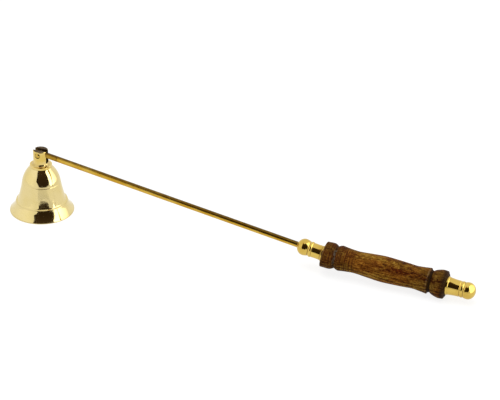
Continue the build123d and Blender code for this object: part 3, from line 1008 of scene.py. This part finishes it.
def handle_outline():
    """From the front face over the cap, the barrel and the rear cap to the rear stud's hole."""
    cap = on_handle(front_cap_shares)
    points = [(0, 0), cap[0]]
    points += arc(cap[1], cap[2], cap[3])
    points += on_handle(barrel_start_shares)
    points += curve(on_handle(barrel_shares))
    points += on_handle(rear_groove_shares)
    points += curve(on_handle(rear_cap_shares))
    hole_floor = handle_length - stud_wood_depth
    points += [(handle_length, rear_face_share * cap_radius), (handle_length, stud_hole_radius)]
    points += [(hole_floor, stud_hole_radius), (hole_floor, 0)]
    return finished(points)


def handle():
    """Turned grip, its front face leaning with the ferrule."""
    piece = turned("handle_wood", handle_outline(), wood, sides=160, relief_reach=wood_relief)
    lean_length = front_cap_shares[-1][0] * handle_length
    for vertex in piece.data.vertices:
        share = max(1 - vertex.co.x / lean_length, 0)
        vertex.co.x += share * tan(set_angle) * vertex.co.z
    piece.data.transform(handle_stand)
    front_hole = cutter(circle(stud_hole_radius), -stud_wood_depth, stud_wood_depth, hole_stand, wood)
    cut(piece, [front_hole])
    settled(piece, still, "grip", "handle")


def dress_hidden():
    """Finishes for the CAD pieces that stay as they are."""
    finishes = {"yoke_nut": brass, "front_stud": steel, "rear_stud": steel}
    for node, finish in finishes.items():
        mesh = frame["nodes"][node].data
        mesh.materials.clear()
        mesh.materials.append(finish)


# Camera
view_azimuth = radians(20.277)
view_elevation = radians(28.804)
view_roll = radians(1.805)
view_distance = 1.1359
view_sensor = 36.0
# In the 500 x 400 picture: the lens's length, and where the centre of the bell's mouth is seen.
picture_width = 500
picture_centre = (250, 200)
lens_pixels = 1893
mouth_pixel = (42.21, 208.77)


def camera():
    level = Vector((cos(view_azimuth), sin(view_azimuth), 0))
    back = level.cross(z_axis) * cos(view_elevation) + z_axis * sin(view_elevation)
    right = level * cos(view_roll) + back.cross(level) * sin(view_roll)
    up = back.cross(right)
    data = bpy.data.cameras.new("camera")
    data.lens = view_sensor * lens_pixels / picture_width
    data.sensor_width = view_sensor
    eye = added("camera", data)
    scale = view_distance / lens_pixels
    x = (mouth_pixel[0] - picture_centre[0]) * scale
    y = (picture_centre[1] - mouth_pixel[1]) * scale
    eye.location = bell_foot - right * x - up * y + back * view_distance
    eye.rotation_mode = "QUATERNION"
    eye.rotation_quaternion = Matrix((right, up, back)).transposed().to_quaternion()
    bpy.context.scene.camera = eye


# The studio, in metres from the bell's foot: to its right, to its front, where the camera is, and up.
studio_azimuth = radians(23.925)
studio_right = Vector((cos(studio_azimuth), sin(studio_azimuth), 0))
studio_front = Vector((sin(studio_azimuth), -cos(studio_azimuth), 0))
white = (1, 1, 1)


def studio_place(right, front, up):
    return bell_foot + studio_right * right + studio_front * front + z_axis * up


camera_rays = ("Is Camera Ray",)
mirror_rays = ("Is Glossy Ray", "Is Transmission Ray")


def seen_by(n, kinds):
    """One for the rays named, nought for the others."""
    path = n.add("ShaderNodeLightPath").outputs
    total = path[kinds[0]]
    for kind in kinds[1:]:
        total = n.math("ADD", total, path[kind])
    return total


table_reach = 4.0
table_grey = (0.25, 0.25, 0.25)
# The table's glow as a light, and what the camera and the reflections see on top of it
table_glow = 0.42
table_camera_glow = 0.4
table_mirror_glow = 0.3


def floor():
    """White table top that keeps the snuffer's soft shadow."""
    mesh = bpy.data.meshes.new("table_top")
    reach = table_reach
    corners = [(-reach, -reach, 0), (reach, -reach, 0), (reach, reach, 0), (-reach, reach, 0)]
    mesh.from_pydata(corners, [], [(0, 1, 2, 3)])
    top = added("table_top", mesh)
    f = Finish("table_white")
    glow = f.math("MULTIPLY_ADD", seen_by(f, camera_rays), table_camera_glow, table_glow)
    glow = f.math("MULTIPLY_ADD", seen_by(f, mirror_rays), table_mirror_glow, glow)
    f.give(Base_Color=table_grey, Roughness=1.0, Specular_IOR_Level=0.0)
    mesh.materials.append(f.give(Emission_Color=white, Emission_Strength=glow))


def card(name, columns, strengths, colour=white):
    """A studio card that shows only in reflections. Its corners are given in columns, and its strength for
    the whole card, for each row, or for each column in a list of its own."""
    rows = len(columns[0])
    starts = [i * rows + k for i in range(len(columns) - 1) for k in range(rows - 1)]
    mesh = bpy.data.meshes.new(name)
    mesh.from_pydata(
        [studio_place(*corner) for column in columns for corner in column],
        [],
        [(start, start + rows, start + rows + 1, start + 1) for start in starts],
    )
    light = mesh.attributes.new("light", "FLOAT", "POINT")
    light.data.foreach_set("value", np.broadcast_to(strengths, (len(columns), rows)).ravel())
    panel = added(name, mesh)
    made = bpy.data.materials.new(name)
    made.use_nodes = True
    made.node_tree.nodes.clear()
    n = Nodes(made.node_tree)
    strength = n.add("ShaderNodeAttribute", attribute_name="light").outputs["Fac"]
    glow = n.add("ShaderNodeEmission", {"Color": colour, "Strength": strength}).outputs[0]
    n.add("ShaderNodeOutputMaterial", {"Surface": glow})
    mesh.materials.append(made)
    panel.visible_camera = False
    panel.visible_diffuse = False
    panel.visible_shadow = False
    panel.visible_volume_scatter = False


def flat(columns, height):
    """Columns of a card that lies flat."""
    return [[(*place, height) for place in column] for column in columns]


def upright(feet, height):
    """Columns of a card that stands on the table."""
    return [[(*foot, 0), (*foot, height)] for foot in feet]


# The dark side of the studio, where the camera stands: a card that curves over, paler at its top, with a
# foot in the shape of a V
dark_left = (-0.21, 0.364)
dark_right = (0.28, 0.21)
dark_columns = [
    [
        (*dark_left, 0.15),
        (*dark_left, 0.2),
        (*dark_left, 0.35),
        (-0.24, 0.3, 0.52),
        (-0.18, 0.18, 0.7),
        (-0.09, 0.03, 0.78),
    ],
    [
        (-0.01, 0.305, 0.008),
        (-0.07, 0.325, 0.018),
        (-0.09, 0.33, 0.09),
        (-0.07, 0.32, 0.58),
        (0.0, 0.22, 0.74),
        (0.04, 0.05, 0.8),
    ],
    [
        (0.15, 0.265, 0.008),
        (0.225, 0.24, 0.018),
        (0.25, 0.225, 0.09),
        (0.26, 0.22, 0.58),
        (0.28, 0.18, 0.74),
        (0.28, 0.08, 0.8),
    ],
    [
        (0.26, 0.22, 0.08),
        (0.27, 0.215, 0.2),
        (*dark_right, 0.35),
        (0.29, 0.2, 0.58),
        (0.33, 0.16, 0.74),
        (0.34, 0.08, 0.8),
    ],
]
dark_strengths = (0.03, 0.03, 0.03, 0.06, 0.3, 0.8)
dark_colour = (1.0, 0.62, 0.33)
# A card above the handle, a white apron on the table in front of the dark card, and a low strip before it
over_height = 0.5
over_columns = [[(0.04, 0.20), (0.10, 0.0)], [(0.14, 0.245), (0.30, 0.10)]]
over_strength = 1.0
apron_height = 0.001
apron_columns = [
    [(-0.03, 0.10), (-0.06, 0.20), (-0.09, 0.33)],
    [(0.10, 0.13), (0.17, 0.19), (0.28, 0.21)],
]
apron_strengths = (0.84, 0.76, 0.7)
strip_height = 0.026
strip_feet = [(0.14, 0.2), (0.36, 0.2)]
strip_strength = 0.8
# The two bright soft panels at the dark card's sides
right_height = 0.7
right_feet = [dark_right, (0.42, 0.10), (0.52, -0.05), (0.56, -0.25)]
right_strengths = [[3.0], [2.8], [2.1], [1.2]]
left_height = 0.6
left_feet = [dark_left, (-0.35, 0.25), (-0.5, 0.0), (-0.5, -0.3)]
left_strengths = [[1.0], [1.12], [1.08], [0.97]]


def cards():
    card("dark_card", dark_columns, dark_strengths, dark_colour)
    card("over_handle", flat(over_columns, over_height), over_strength)
    card("apron", flat(apron_columns, apron_height), apron_strengths)
    card("low_strip", upright(strip_feet, strip_height), strip_strength)
    card("right_panel", upright(right_feet, right_height), right_strengths)
    card("left_panel", upright(left_feet, left_height), left_strengths)


lamp_place = studio_place(-0.2, 0.1, 1.4)
lamp_target = studio_place(0.13, 0.05, 0)
lamp_size = 1.2
lamp_power = 9.0


def lamp():
    """A large soft lamp above, kept out of the reflections."""
    data = bpy.data.lights.new("top_lamp", "AREA")
    data.shape = "SQUARE"
    data.size = lamp_size
    data.energy = lamp_power
    made = added("top_lamp", data)
    made.location = lamp_place
    made.rotation_mode = "QUATERNION"
    made.rotation_quaternion = (lamp_place - lamp_target).to_track_quat("Z", "Y")
    made.visible_glossy = False


# The surroundings as a light, and what the camera and the reflections see on top of it
sky_glow = 0.7
sky_seen_glow = 0.3


def world():
    """Even white surroundings, a little brighter where they are seen than as light."""
    sky = bpy.data.worlds.new("studio")
    sky.use_nodes = True
    bpy.context.scene.world = sky
    n = Nodes(sky.node_tree)
    background = sky.node_tree.nodes["Background"].inputs
    n.feed(background["Color"], white)
    seen = seen_by(n, camera_rays + mirror_rays)
    n.feed(background["Strength"], n.math("MULTIPLY_ADD", seen, sky_seen_glow, sky_glow))


camera()
floor()
cards()
lamp()
world()
bell_cup()
bell_yoke()
hinge_rivet()
rod()
front_ferrule()
rear_finial()
handle()
dress_hidden()

bpy.context.scene.view_settings.view_transform = "Standard"
